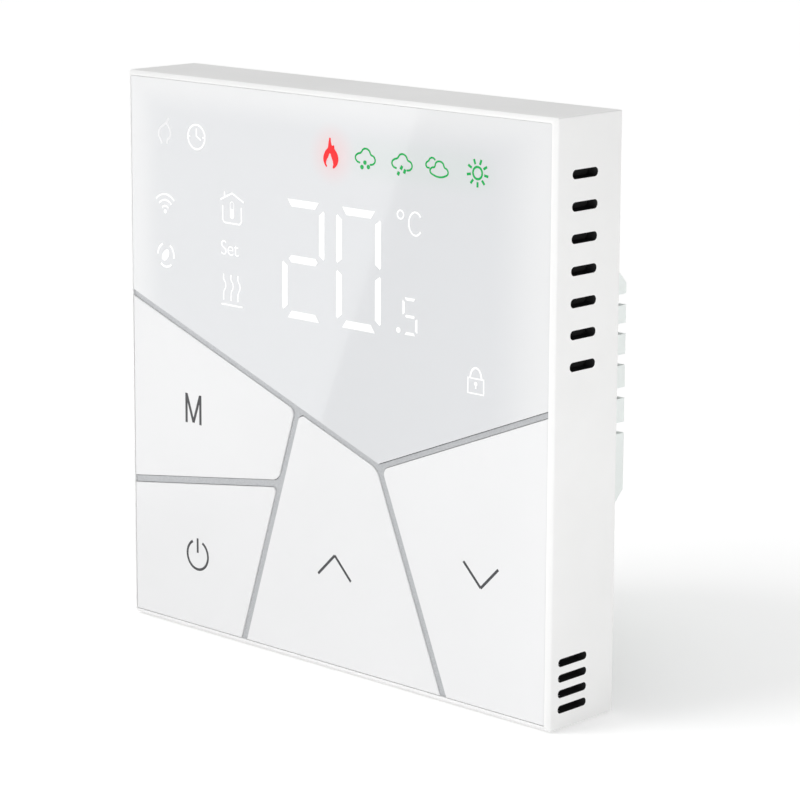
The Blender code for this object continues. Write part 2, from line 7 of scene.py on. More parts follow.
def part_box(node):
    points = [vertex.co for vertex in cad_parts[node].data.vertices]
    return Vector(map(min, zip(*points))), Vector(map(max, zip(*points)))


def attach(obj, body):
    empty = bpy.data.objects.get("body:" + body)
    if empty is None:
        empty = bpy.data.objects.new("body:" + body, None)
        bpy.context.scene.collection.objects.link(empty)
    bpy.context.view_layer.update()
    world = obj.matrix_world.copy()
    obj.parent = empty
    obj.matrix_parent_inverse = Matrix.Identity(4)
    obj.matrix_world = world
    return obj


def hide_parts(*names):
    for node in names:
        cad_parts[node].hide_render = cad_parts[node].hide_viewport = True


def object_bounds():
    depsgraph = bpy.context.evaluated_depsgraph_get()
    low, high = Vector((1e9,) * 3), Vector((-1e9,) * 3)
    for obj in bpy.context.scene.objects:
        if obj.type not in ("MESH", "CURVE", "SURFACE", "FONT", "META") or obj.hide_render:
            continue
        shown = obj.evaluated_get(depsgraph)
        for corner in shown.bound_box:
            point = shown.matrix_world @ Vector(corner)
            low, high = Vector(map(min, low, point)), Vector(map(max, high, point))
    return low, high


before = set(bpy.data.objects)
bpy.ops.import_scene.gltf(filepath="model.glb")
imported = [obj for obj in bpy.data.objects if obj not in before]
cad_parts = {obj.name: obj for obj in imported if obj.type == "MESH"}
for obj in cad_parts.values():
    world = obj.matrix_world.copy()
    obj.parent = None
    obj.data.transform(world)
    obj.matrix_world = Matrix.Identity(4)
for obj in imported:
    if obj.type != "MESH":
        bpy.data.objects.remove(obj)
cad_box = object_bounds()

# ---- Camera ----
# A long lens looks at the thermostat from its right front, a little above it. It is tilted down
# slightly and the picture is shifted down as well, so the upright edges converge less.
scene = bpy.context.scene
AZIMUTH, ELEVATION, ROLL = math.radians(43.119), math.radians(10.578), math.radians(0.258)
FOCAL_LENGTH, LENS_SHIFT = 135.11, -0.12
DISTANCE, ASIDE, ABOVE = 0.44864, 0.00083, 0.01005
flat = math.cos(ELEVATION)
back = Vector((math.sin(AZIMUTH) * flat, -math.cos(AZIMUTH) * flat, math.sin(ELEVATION)))
level = Vector((math.cos(AZIMUTH), math.sin(AZIMUTH), 0))
upright = back.cross(level)
right = level * math.cos(ROLL) + upright * math.sin(ROLL)
up = upright * math.cos(ROLL) - level * math.sin(ROLL)
camera_data = bpy.data.cameras.new("camera")
camera_data.sensor_width = 36
camera_data.lens = FOCAL_LENGTH
camera_data.shift_y = LENS_SHIFT
camera_data.clip_start = 0.02
camera = bpy.data.objects.new("camera", camera_data)
scene.collection.objects.link(camera)
spot = back * DISTANCE + level * ASIDE + upright * ABOVE
camera.matrix_world = Matrix.Translation(spot) @ Matrix((right, up, back)).transposed().to_4x4()
scene.camera = camera
scene.view_settings.view_transform = "Standard"

# ---- Studio ----
# A white table in a white room. A window high on the left throws the shadow to the right, a wide
# light in the ceiling evens out the table and the tops, and a weak one fills the right side. An
# unseen glowing card just above the table is what the glossy lens mirrors.
TABLE_WHITE, TABLE_GLOW, ROOM_LIGHT = 0.8, 0.285, 0.3
CARD_X, CARD_Y, CARD_Z = -0.3937, -0.2700, -0.042
bpy.ops.object.select_all(action="DESELECT")
bpy.ops.mesh.primitive_plane_add(size=30, location=(0, 0, cad_box[0].z - 0.0003))
table = bpy.context.object
table.name = "table"
paper = bpy.data.materials.new("table_white")
paper.use_nodes = True
paper_shader = paper.node_tree.nodes["Principled BSDF"]
paper_shader.inputs["Base Color"].default_value = (TABLE_WHITE, TABLE_WHITE, TABLE_WHITE, 1)
paper_shader.inputs["Roughness"].default_value = 0.9
paper_shader.inputs["Emission Color"].default_value = (1, 1, 1, 1)
paper_shader.inputs["Emission Strength"].default_value = TABLE_GLOW
table.data.materials.append(paper)

world = bpy.data.worlds.new("room")
scene.world = world
world.use_nodes = True
world.node_tree.nodes["Background"].inputs["Color"].default_value = (1, 1, 1, 1)
world.node_tree.nodes["Background"].inputs["Strength"].default_value = ROOM_LIGHT


def lamp(name, kind, place, aim, power):
    """A light at one place, turned towards another."""
    data = bpy.data.lights.new(name, kind)
    data.energy = power
    made = bpy.data.objects.new(name, data)
    scene.collection.objects.link(made)
    made.location = place
    made.rotation_euler = (Vector(aim) - Vector(place)).to_track_quat("-Z", "Y").to_euler()
    return made


window_light = lamp("window_light", "SUN", (-0.36, -0.56, 0.5), (0, 0, 0), 1.36)
window_light.data.angle = math.radians(35)
ceiling_light = lamp("ceiling_light", "SUN", (-0.15, 0.1, 1), (0, 0, 0), 1.13)
ceiling_light.data.angle = math.radians(70)
side_light = lamp("side_light", "AREA", (0.22, -0.11, 0.003), (0.043, 0, 0), 0.058)
side_light.data.shape = "RECTANGLE"
side_light.data.size, side_light.data.size_y = 0.2, 0.08
side_light.data.spread = math.radians(100)
floor_card = lamp("floor_card", "AREA", (CARD_X, CARD_Y, CARD_Z), (CARD_X, CARD_Y, 1), 0.37)
floor_card.data.shape = "RECTANGLE"
floor_card.data.size, floor_card.data.size_y = 0.7, 0.24
floor_card.rotation_euler = (math.pi, 0, math.radians(49.4))
floor_card.visible_camera = False

# ---- Case ----
# The square shell is moulded in white plastic with a fine matt grain. Its hollow and the walls of its vents
# are painted near black as shade, so that the vents read dark. It holds everything in front of the wall,
# and clips on from the front.
MM = 0.001


class Value:
    """A shader socket that works in sums: 1 - mask adds its own Math node."""

    def __init__(self, tree, socket):
        self.tree = tree
        self.socket = socket

    def node(self, kind, settings, sockets, output=0):
        """Adds a node. Its settings are set first, then each socket gets a value or a link."""
        made = self.tree.nodes.new(kind)
        for setting, wanted in settings.items():
            if setting == "stops":
                for index, (place, colour) in enumerate(wanted):
                    if index > 1:
                        made.color_ramp.elements.new(place)
                    made.color_ramp.elements[index].position = place
                    made.color_ramp.elements[index].color = colour
            else:
                setattr(made, setting, wanted)
        for key, wanted in sockets.items():
            if isinstance(wanted, Value):
                self.tree.links.new(wanted.socket, made.inputs[key])
            else:
                made.inputs[key].default_value = wanted
        return Value(self.tree, made.outputs[output])

    def math(self, operation, *terms):
        return self.node("ShaderNodeMath", {"operation": operation}, dict(enumerate(terms)))

    def __add__(self, other):
        return self.math("ADD", self, other)

    def __radd__(self, other):
        return self.math("ADD", other, self)

    def __sub__(self, other):
        return self.math("SUBTRACT", self, other)

    def __rsub__(self, other):
        return self.math("SUBTRACT", other, self)

    def __mul__(self, other):
        return self.math("MULTIPLY", self, other)

    def __rmul__(self, other):
        return self.math("MULTIPLY", other, self)

    def noise(self, size, detail=2.0, seed=0.0):
        """Cloudy noise whose patches are about size metres across, from 0 to 1."""
        return self.node(
            "ShaderNodeTexNoise",
            {"noise_dimensions": "4D"},
            {"Vector": self, "W": seed, "Scale": 1 / size, "Detail": detail},
        )

    def ramp(self, low, high):
        """0 up to low, 1 from high, and smooth in between."""
        return self.node(
            "ShaderNodeMapRange",
            {"interpolation_type": "SMOOTHSTEP"},
            {"Value": self, "From Min": low, "From Max": high},
        )

    def mix(self, first, second):
        """Blends two colours, with this value as the share of the second."""
        sockets = {0: self, 6: first, 7: second}
        return self.node("ShaderNodeMix", {"data_type": "RGBA"}, sockets, output=2)

    def along(self, axis):
        """One coordinate of a place."""
        return self.node("ShaderNodeSeparateXYZ", {}, {0: self}, output="XYZ".index(axis))

    def bump(self, depth):
        """A normal from this height, for relief that is depth metres deep."""
        return self.node("ShaderNodeBump", {}, {"Height": self, "Strength": 1.0, "Distance": depth})

    def feed(self, shader, name):
        self.tree.links.new(self.socket, shader.inputs[name])


def new_material(name):
    """A material, its shader, and the place on the object as a Value."""
    material = bpy.data.materials.new(name)
    material.use_nodes = True
    tree = material.node_tree
    place = tree.nodes.new("ShaderNodeTexCoord").outputs["Object"]
    return material, tree.nodes["Principled BSDF"], Value(tree, place)


def tinted(colour, factor):
    return (*(min(1.0, channel * factor) for channel in colour), 1)


def moulded(name, colour, roughness, grain=0.00022, depth=0.000012):
    """Moulded plastic: slightly uneven in colour and gloss, with a fine grain from the mould."""
    material, shader, place = new_material(name)
    cloud = place.noise(0.022, 3.0)
    fine = place.noise(grain, 2.0, seed=4.0)
    flow = place.noise(0.004, 2.0, seed=9.0)
    shade = (cloud * 0.75 + flow * 0.25).ramp(0.3, 0.7)
    shade.mix(tinted(colour, 0.975), tinted(colour, 1.01)).feed(shader, "Base Color")
    (roughness - 0.05 + cloud * 0.06 + fine * 0.04).feed(shader, "Roughness")
    fine.bump(depth).feed(shader, "Normal")
    return material


shell_white = moulded("shell_white", (0.86, 0.86, 0.855), 0.46)
# Painted shade: near black for the case's hollow and vent walls, standing in for the shade inside the case.
shell_painted_shade = moulded("shell_painted_shade_inside", (0.012, 0.012, 0.013), 0.7)


def alone(piece):
    """Selects the piece and nothing else."""
    bpy.ops.object.select_all(action="DESELECT")
    piece.select_set(True)
    bpy.context.view_layer.objects.active = piece


def block(name, low, high):
    """A cube stretched between two corners, with its place in its mesh."""
    low, high = Vector(low), Vector(high)
    bpy.ops.object.select_all(action="DESELECT")
    bpy.ops.mesh.primitive_cube_add(size=1, location=(low + high) / 2)
    piece = bpy.context.object
    piece.name = name
    piece.scale = high - low
    bpy.ops.object.transform_apply(location=True, rotation=True, scale=True)
    return piece


def pick_edges(piece, wanted):
    """Opens the piece for editing with only the edges selected whose two ends pass wanted."""
    alone(piece)
    bpy.ops.object.mode_set(mode="EDIT")
    bpy.ops.mesh.select_mode(type="EDGE")
    bpy.ops.mesh.select_all(action="DESELECT")
    bpy.ops.object.mode_set(mode="OBJECT")
    points = piece.data.vertices
    for edge in piece.data.edges:
        start, end = (points[index].co for index in edge.vertices)
        edge.select = wanted(start, end)
    bpy.ops.object.mode_set(mode="EDIT")


def bevel_edges(piece, wanted, width, segments):
    pick_edges(piece, wanted)
    bpy.ops.mesh.bevel(offset=width, segments=segments, affect="EDGES")
    bpy.ops.object.mode_set(mode="OBJECT")


def runs_back(start, end):
    """Whether an edge runs from front to back."""
    return abs(start.y - end.y) > 1e-5 and (start - end).xz.length < 1e-6


def apply_all(piece):
    alone(piece)
    for modifier in list(piece.modifiers):
        bpy.ops.object.modifier_apply(modifier=modifier.name)


def cut_away(piece, tool):
    """Cuts the tool out of the piece. The new walls take the tool's material."""
    cut = piece.modifiers.new("cut", "BOOLEAN")
    cut.object = tool
    cut.solver = "EXACT"
    cut.material_mode = "TRANSFER"
    apply_all(piece)
    bpy.data.objects.remove(tool)


def soft_edges(piece, width, segments, angle=40):
    """Rounds every edge that is sharper than angle degrees a little, as a mould leaves it."""
    soft = piece.modifiers.new("soft", "BEVEL")
    soft.width = width
    soft.segments = segments
    soft.limit_method = "ANGLE"
    soft.angle_limit = math.radians(angle)
    apply_all(piece)


SMOOTH_BELOW = math.radians(35)


def finish_piece(piece, body, material=None):
    """Gives a modelled piece its finish and its shading, and puts it on its body."""
    if material:
        piece.data.materials.clear()
        piece.data.materials.append(material)
    alone(piece)
    bpy.ops.object.shade_smooth_by_angle(angle=SMOOTH_BELOW)
    flat = piece.modifiers.new("flat_faces_stay_flat", "WEIGHTED_NORMAL")
    flat.keep_sharp = True
    flat.weight = 100
    apply_all(piece)
    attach(piece, body)
    return piece


case_low, case_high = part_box("front_case")
CASE_WALL, FRONT_CHAMFER, PANEL_GAP = 1.8 * MM, 0.55 * MM, 0.03 * MM
RIM = case_high.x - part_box("display_lens")[1].x - PANEL_GAP
LEDGE_Y = case_low.y + 3.4 * MM
case = block("case_shell", case_low, case_high)
case.data.materials.append(shell_white)
bevel_edges(case, lambda a, b: max(a.y, b.y) < case_low.y + 1e-6, FRONT_CHAMFER, 1)
soft_edges(case, 0.2 * MM, 3, 30)


def pocket_tool(inset, front, rear, radius):
    """A square plug for hollowing the case, inset from its outside."""
    low = Vector((case_low.x + inset, front, case_low.z + inset))
    high = Vector((case_high.x - inset, rear, case_high.z - inset))
    tool = block("pocket", low, high)
    bevel_edges(tool, runs_back, radius, 3)
    return tool


front_pocket = pocket_tool(RIM, case_low.y - MM, LEDGE_Y, 0.2 * MM)
front_pocket.data.materials.append(shell_white)
cut_away(case, front_pocket)
# The hollow and the vent walls cut below take the painted shade.
hollow = pocket_tool(CASE_WALL, LEDGE_Y - MM, case_high.y + MM, 0.8 * MM)
hollow.data.materials.append(shell_painted_shade)
cut_away(case, hollow)


def slot_tool(x_low, x_high, y_low, y_high, z, height):
    """A bar with round ends, for cutting one vent."""
    half = height / 2
    tool = block("vent", (x_low, y_low, z - half), (x_high, y_high, z + half))
    tool.data.materials.append(shell_painted_shade)
    bevel_edges(tool, lambda a, b: abs(a.x - b.x) > 1e-5, half * 0.98, 7)
    return tool


VENT_FRONT, VENT_BACK = case_low.y + 3.5 * MM, case_low.y + 8.9 * MM
VENT_COUNT, VENT_TOP, VENT_STEP = 7, 35.0, 4.44
SENSOR_VENT_FRONT, SENSOR_VENT_BACK = case_low.y + 2.0 * MM, case_low.y + 8.1 * MM
SENSOR_VENT_COUNT, SENSOR_VENT_TOP, SENSOR_VENT_STEP = 4, -33.4, 2.25
for row in range(VENT_COUNT):
    height = (VENT_TOP - VENT_STEP * row) * MM
    for inner, outer in ((41 * MM, case_high.x + MM), (case_low.x - MM, -41 * MM)):
        cut_away(case, slot_tool(inner, outer, VENT_FRONT, VENT_BACK, height, 1.3 * MM))
for row in range(SENSOR_VENT_COUNT):
    height = (SENSOR_VENT_TOP - SENSOR_VENT_STEP * row) * MM
    ends = (39.1 * MM, case_high.x + MM, SENSOR_VENT_FRONT, SENSOR_VENT_BACK)
    cut_away(case, slot_tool(*ends, height, 1.15 * MM))
notch_low = (-5 * MM, -1.6 * MM, case_low.z - MM)
notch_high = (5 * MM, MM, case_low.z + 3 * MM)
cut_away(case, block("release_notch", notch_low, notch_high))
soft_edges(case, 0.06 * MM, 2)
finish_piece(case, "front_unit")
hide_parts("front_case")

# ---- Keys and the silver frame ----
# Four gloss white acrylic keys and the lens share one flat front. Each is trimmed along the seams,
# the keys with rounded corners, and the silver ribs of the frame stand between them a little lower.
LENS_LEFT = Vector((-43.0, 0, 8.8)) * MM
LENS_FOOT = Vector((10.25, 0, -10.55)) * MM
LENS_RIGHT = Vector((43.0, 0, 2.5)) * MM
MENU_TOP = Vector((-6.3, 0, -4.6)) * MM
MENU_FOOT = Vector((-10.0, 0, -16.5)) * MM
MENU_LEFT = Vector((-43.0, 0, -21.3)) * MM
POWER_FOOT = Vector((-18.2, 0, -43.0)) * MM
UP_FOOT = Vector((23.45, 0, -43.0)) * MM
LENS_SEAM, KEY_SEAM = 0.9 * MM, 1.1 * MM
SEAMS = {
    "lens_left": (LENS_LEFT, LENS_FOOT, LENS_SEAM),
    "lens_right": (LENS_FOOT, LENS_RIGHT, LENS_SEAM),
    "menu_right": (MENU_TOP, POWER_FOOT, KEY_SEAM),
    "menu_low": (MENU_LEFT, MENU_FOOT, KEY_SEAM),
    "up_right": (LENS_FOOT, UP_FOOT, KEY_SEAM),
}
KEY_SEAMS = {
    "menu": ("lens_left", "menu_right", "menu_low"),
    "power": ("menu_low", "menu_right"),
    "up": ("lens_left", "menu_right", "up_right"),
    "down": ("lens_right", "up_right"),
    "lens": ("lens_left", "lens_right"),
}
CENTRES = {
    "menu": Vector((-28.8, 0, -8.0)) * MM,
    "power": Vector((-28.1, 0, -30.9)) * MM,
    "up": Vector((1.4, 0, -27.0)) * MM,
    "down": Vector((30.2, 0, -23.0)) * MM,
    "lens": Vector((0, 0, 20.0)) * MM,
}
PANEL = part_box("display_lens")[1].x
PANEL_FRONT = case_low.y + 0.04 * MM
KEY_BACK = PANEL_FRONT + 1.45 * MM
KEY_CORNER, KEY_BEVEL = 1.1 * MM, 0.16 * MM


def trimmed_slab(name, label, front, rear, grow=0.0):
    """A slab as large as the whole panel, trimmed along its seams. Keys get rounded corners."""
    reach = PANEL + grow
    slab = block(name, (-reach, front, -reach), (reach, rear, reach))
    for seam in KEY_SEAMS[label]:
        start, end, width = SEAMS[seam]
        line = (end - start).normalized()
        away = Vector((line.z, 0, -line.x))
        if (CENTRES[label] - start).dot(away) > 0:
            away = -away
        alone(slab)
        bpy.ops.object.mode_set(mode="EDIT")
        bpy.ops.mesh.select_all(action="SELECT")
        edge = start - away * (width / 2 - grow)
        bpy.ops.mesh.bisect(plane_co=edge, plane_no=away, clear_outer=True, use_fill=True)
        bpy.ops.object.mode_set(mode="OBJECT")
    if label != "lens":
        rim = reach - 0.1 * MM
        bevel_edges(
            slab,
            lambda a, b: runs_back(a, b) and abs(a.x) < rim and abs(a.z) < rim,
            KEY_CORNER - grow,
            8,
        )
    return slab


def gloss_white(name, colour, roughness):
    """Painted acrylic: smooth, with faint waves and fine hazy wear that only the gloss shows."""
    material, shader, place = new_material(name)
    cloud = place.noise(0.03, 2.0, seed=2.0)
    haze = place.noise(0.0015, 4.0, seed=6.0)
    cloud.ramp(0.3, 0.7).mix(tinted(colour, 0.985), tinted(colour, 1.01)).feed(shader, "Base Color")
    (roughness - 0.03 + haze * 0.06).feed(shader, "Roughness")
    place.noise(0.012, 1.0, seed=3.0).bump(0.000003).feed(shader, "Normal")
    shader.inputs["Coat Weight"].default_value = 0.25
    shader.inputs["Coat Roughness"].default_value = 0.12
    return material


def silver_paint(name):
    """Silver paint on plastic, with metal flakes that catch the light one by one."""
    material, shader, place = new_material(name)
    flake = place.noise(0.00012, 1.0, seed=1.0)
    cloud = place.noise(0.01, 2.0, seed=5.0)
    flake.ramp(0.35, 0.65).mix((0.42, 0.43, 0.445, 1), (0.51, 0.52, 0.53, 1)).feed(shader, "Base Color")
    (0.34 + cloud * 0.12).feed(shader, "Roughness")
    (0.25 + flake * 0.3).feed(shader, "Metallic")
    flake.bump(0.000006).feed(shader, "Normal")
    return material


key_white = gloss_white("key_white", (0.765, 0.767, 0.772), 0.3)
silver = silver_paint("frame_silver")

RIB_DROP, RIB_BACK, RIB_PLAY = 0.22 * MM, -11.6 * MM, 0.06 * MM
grid_front = PANEL_FRONT + RIB_DROP
grid_half = PANEL + 0.1 * MM
grid = block("silver_ribs", (-grid_half, grid_front, -grid_half), (grid_half, RIB_BACK, grid_half))
grid.data.materials.append(silver)
for label in KEY_SEAMS:
    tool = trimmed_slab("key_hole", label, grid_front - MM, 0.0, RIB_PLAY)
    tool.data.materials.append(silver)
    cut_away(grid, tool)
soft_edges(grid, 0.04 * MM, 2)
finish_piece(grid, "front_unit")
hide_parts("key_frame")

for label in ("menu", "power", "up", "down"):
    key = trimmed_slab(label + "_key_top", label, PANEL_FRONT, KEY_BACK)
    bevel_edges(key, lambda a, b: max(a.y, b.y) < PANEL_FRONT + 1e-6, KEY_BEVEL, 3)
    finish_piece(key, label + "_key", key_white)
    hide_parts(label + "_key")

# ---- Lens ----
# The display shines through a light grey acrylic lens. It is printed white along its outer edges, and the
# light of the red and green signs behind it is painted into the grey around them as a faint glow.
LENS_BEVEL = 0.05 * MM
FADE_RIGHT, FADE_LEFT, FADE_TOP, FADE_JOIN = 11.5 * MM, 7.5 * MM, 6.0 * MM, 0.5
RED_X, RED_Z = 0.0009, 0.0341
GREEN_X, GREEN_Z, GREEN_HALF = 0.0183, 0.0342, 0.0109
lens = trimmed_slab("lens_plate", "lens", PANEL_FRONT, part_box("display_lens")[1].y)
bevel_edges(lens, lambda a, b: max(a.y, b.y) < PANEL_FRONT + 1e-6, LENS_BEVEL, 3)
lens_grey, lens_shader, place = new_material("lens_grey")
x, z = place.along("X"), place.along("Z")
from_right, from_left = (PANEL - x) * (1 / FADE_RIGHT), (PANEL + x) * (1 / FADE_LEFT)
from_top = (PANEL - z) * (1 / FADE_TOP)
from_side = x.math("SMOOTH_MIN", from_right, from_left, FADE_JOIN)
grey = x.math("SMOOTH_MIN", from_side, from_top, FADE_JOIN).ramp(0.0, 1.0)
cloud = place.noise(0.02, 2.0)
tint = grey.mix((0.72, 0.725, 0.73, 1), (0.635, 0.645, 0.66, 1))
# Painted light: a faint red glow around the flame sign and a green one along the weather signs, mixed into
# the lens colour.
across, above = x - RED_X, z - RED_Z
far = place.math("SQRT", across * across + above * above)
painted_red_glow = 1 - far.ramp(0.0008, 0.0052)
across = x.math("MAXIMUM", x.math("ABSOLUTE", x - GREEN_X) - GREEN_HALF, 0.0)
above = z - GREEN_Z
painted_green_glow = 1 - x.math("SQRT", across * across + above * above).ramp(0.0004, 0.0044)
tint = (painted_green_glow * 0.14).mix(tint, (0.42, 0.60, 0.48, 1))
(painted_red_glow * 0.25).mix(tint, (0.93, 0.30, 0.30, 1)).feed(lens_shader, "Base Color")
(0.05 + cloud * 0.04).feed(lens_shader, "Roughness")
place.noise(0.03, 1.0, seed=7.0).bump(0.000001).feed(lens_shader, "Normal")
lens_shader.inputs["Coat Weight"].default_value = 1.0
lens_shader.inputs["Coat Roughness"].default_value = 0.02
finish_piece(lens, "front_unit", lens_grey)
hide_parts("display_lens")

# ---- Lit signs and key marks ----
# What shines through the lens is drawn as thin shapes in its front, and the keys' marks are printed
# in dark grey ink. Lines are flattened bars and areas are flat plates, both a few hundredths high.
SIGN_HEIGHT = 0.03 * MM


def flat_mesh(curve):
    """Turns a curve drawn in its own XY plane into a thin mesh on the panel's front."""
    made = bpy.data.objects.new(curve.name, curve)
    scene.collection.objects.link(made)
    alone(made)
    bpy.ops.object.convert(target="MESH")
    stand = Matrix(((1, 0, 0, 0), (0, 0, -1, PANEL_FRONT), (0, 1, 0, 0), (0, 0, 0, 1)))
    made.data.transform(stand)
    return made


def add_spline(curve, points, closed, smooth):
    spline = curve.splines.new("BEZIER" if smooth else "POLY")
    held = spline.bezier_points if smooth else spline.points
    held.add(len(points) - 1)
    for point, (across, high) in zip(held, points):
        if smooth:
            point.co = (across * MM, high * MM, 0)
            point.handle_left_type = point.handle_right_type = "AUTO"
        else:
            point.co = (across * MM, high * MM, 0, 1)
    spline.use_cyclic_u = closed


def lines(strokes, width, closed=False, smooth=False):
    """Lines of one width through (x, z) points in millimetres, flattened onto the panel."""
    curve = bpy.data.curves.new("line", "CURVE")
    curve.dimensions = "3D"
    curve.bevel_depth = width / 2 * MM
    curve.bevel_resolution = 3
    curve.resolution_u = 6
    curve.use_fill_caps = True
    for stroke in strokes:
        add_spline(curve, stroke, closed, smooth)
    made = flat_mesh(curve)
    middle = Matrix.Translation((0, PANEL_FRONT, 0))
    flatten = Matrix.Diagonal((1, SIGN_HEIGHT / (width / 2 * MM), 1, 1))
    made.data.transform(middle @ flatten @ middle.inverted())
    return made


def plates(outlines, smooth=False):
    """Flat areas with the given outlines, a sign's height thick."""
    curve = bpy.data.curves.new("plate", "CURVE")
    curve.dimensions = "2D"
    curve.fill_mode = "BOTH"
    curve.extrude = SIGN_HEIGHT
    curve.resolution_u = 6
    for outline in outlines:
        add_spline(curve, outline, True, smooth)
    return flat_mesh(curve)


def arc(centre, radius, start, end, steps=16, stretch=1.0):
    """Points on part of a circle. The angles are in degrees, from the right and anticlockwise."""
    turns = [math.radians(start + (end - start) * step / steps) for step in range(steps + 1)]
    return [(centre[0] + radius * math.cos(a), centre[1] + radius * stretch * math.sin(a)) for a in turns]


def ring(centre, radius, steps=24):
    return arc(centre, radius, 0, 360 - 360 / steps, steps - 1)


def sign(name, parts, material, body):
    """Joins the parts of a sign into one piece."""
    bpy.ops.object.select_all(action="DESELECT")
    for made in parts:
        made.select_set(True)
    bpy.context.view_layer.objects.active = parts[0]
    bpy.ops.object.join()
    parts[0].name = name
    bpy.ops.object.mode_set(mode="EDIT")
    bpy.ops.mesh.select_all(action="SELECT")
    bpy.ops.mesh.remove_doubles(threshold=1e-7)
    bpy.ops.mesh.normals_make_consistent(inside=False)
    bpy.ops.object.mode_set(mode="OBJECT")
    return finish_piece(parts[0], body, material)


def lit(name, colour, strength):
    """Light from behind the lens, a little uneven."""
    material, shader, place = new_material(name)
    uneven = place.noise(0.003, 2.0)
    uneven.mix(tinted(colour, 0.94), tinted(colour, 1.0)).feed(shader, "Emission Color")
    uneven.mix(tinted(colour, 0.52), tinted(colour, 0.56)).feed(shader, "Base Color")
    (0.08 + uneven * 0.05).feed(shader, "Roughness")
    shader.inputs["Specular IOR Level"].default_value = 0.3
    shader.inputs["Emission Strength"].default_value = strength
    return material


def ink(name):
    """Screen-printed ink, dark grey and slightly rough where the mesh of the screen shows."""
    material, shader, place = new_material(name)
    weave = place.noise(0.0001, 2.0)
    weave.mix((0.035, 0.036, 0.04, 1), (0.06, 0.06, 0.065, 1)).feed(shader, "Base Color")
    (0.3 + weave * 0.2).feed(shader, "Roughness")
    weave.bump(0.000004).feed(shader, "Normal")
    return material


lit_white = lit("lit_white", (1.0, 1.0, 1.0), 0.48)
lit_dim = lit("lit_dim", (0.98, 0.98, 0.99), 0.32)
lit_red = lit("lit_red", (0.90, 0.004, 0.008), 0.6)
lit_green = lit("lit_green", (0.012, 0.52, 0.11), 0.22)
dark_ink = ink("dark_ink")


def bars(centre, width, height, bar, shown):
    """The shown bars of a seven-bar digit: a top, b and c right, d foot, e and f left, g middle."""
    x, z = centre
    half, tall = width / 2, height / 2
    top = [
        (-half + bar * 1.05, tall), (half - bar * 1.05, tall), (half - bar * 1.2, tall - bar * 0.25),
        (half - bar * 1.75, tall - bar), (-half + bar * 1.75, tall - bar),
        (-half + bar * 1.2, tall - bar * 0.25),
    ]
    middle = [
        (-half + bar * 1.25, 0.0), (-half + bar * 1.7, bar / 2), (half - bar * 1.7, bar / 2),
        (half - bar * 1.25, 0.0), (half - bar * 1.7, -bar / 2), (-half + bar * 1.7, -bar / 2),
    ]
    upper = [
        (half - bar, tall - bar * 1.65), (half - bar * 0.2, tall - bar * 1.05),
        (half, tall - bar * 1.25), (half, bar * 0.65), (half - bar * 0.2, bar * 0.45),
        (half - bar, bar * 1.0),
    ]
    shapes = {
        "a": top,
        "b": upper,
        "c": [(px, -pz) for px, pz in upper],
        "d": [(px, -pz) for px, pz in top],
        "e": [(-px, -pz) for px, pz in upper],
        "f": [(-px, pz) for px, pz in upper],
        "g": middle,
    }
    return [[(x + px, z + pz) for px, pz in shapes[letter]] for letter in shown]


digits = plates(bars((-5.0, 17.9), 8.7, 17.7, 1.1, "abged") + bars((6.2, 17.9), 8.9, 17.7, 1.15, "abcdef"))
small_digit = plates(bars((16.35, 12.4), 2.9, 5.4, 0.42, "afgcd") + [ring((14.1, 10.2), 0.42)])
sign("lit_digits", [digits, small_digit], lit_white, "front_unit")
degree = lines([ring((14.4, 26.85), 0.6)], 0.26, closed=True)
celsius = lines([arc((17.3, 25.8), 1.28, 38, 322, 20, 1.3)], 0.28)
sign("lit_unit", [degree, celsius], lit_white, "front_unit")

clock = [lines([ring((-27.65, 34.0), 1.85, 32)], 0.32, closed=True)]
clock += [lines([[(-27.65, 35.3), (-27.65, 34.05)], [(-27.68, 34.15), (-26.65, 33.55)]], 0.28)]
clock += [lines([[(-29.3, 34.0), (-28.95, 34.0)], [(-26.35, 34.0), (-26.0, 34.0)]], 0.22)]
radio = [lines([arc((-34.7, 21.8), r, 43, 137) for r in (1.0, 1.9, 2.8)], 0.3)]
radio += [plates([ring((-34.7, 21.95), 0.33)])]
eco_arcs = [arc((-34.65, 15.2), 1.8, *span) for span in ((-12, 60), (112, 180), (230, 312))]
leaf = [
    (-35.4, 14.4), (-35.5, 15.1), (-35.05, 15.75), (-34.15, 16.1), (-33.95, 15.4), (-34.4, 14.6),
    (-34.9, 14.3),
]
eco = [lines(eco_arcs, 0.34), plates([leaf], smooth=True)]
roof = [[(-22.5, 25.1), (-20.0, 26.25)], [(-20.0, 26.25), (-17.45, 25.1)], [(-21.6, 26.4), (-21.6, 25.6)]]
walls = [(-22.0, 24.3), (-22.0, 22.2), (-21.85, 21.85), (-21.5, 21.7)]
walls += [(-18.5, 21.7), (-18.15, 21.85), (-18.0, 22.2), (-18.0, 24.3)]
tube = arc((-20.0, 24.6), 0.38, 0, 180, 8) + arc((-20.0, 22.8), 0.38, 180, 360, 8)
house = [lines([*roof, walls], 0.28), lines([tube], 0.12, closed=True)]
house += [plates([arc((-20.0, 22.8), 0.38, 180, 360, 8) + [(-19.72, 23.9), (-20.28, 23.9)]])]
wave = ((0.0, 2.0), (0.02, 1.2), (0.4, 0.6), (0.42, 0.0), (0.05, -0.7), (0.0, -1.3), (0.0, -2.0))
heat_waves = [[(left + across, 11.9 + high) for across, high in wave] for left in (-21.9, -20.3, -18.8)]
heat = [lines(heat_waves, 0.24, smooth=True), lines([[(-22.4, 9.25), (-17.85, 9.25)]], 0.28)]
lock_body = [[(27.45, 3.15), (30.4, 3.15), (30.4, 5.3), (27.45, 5.3)]]
lock = [lines(lock_body, 0.3, closed=True), lines([arc((28.92, 5.3), 1.05, 0, 180, 14, 1.45)], 0.3)]
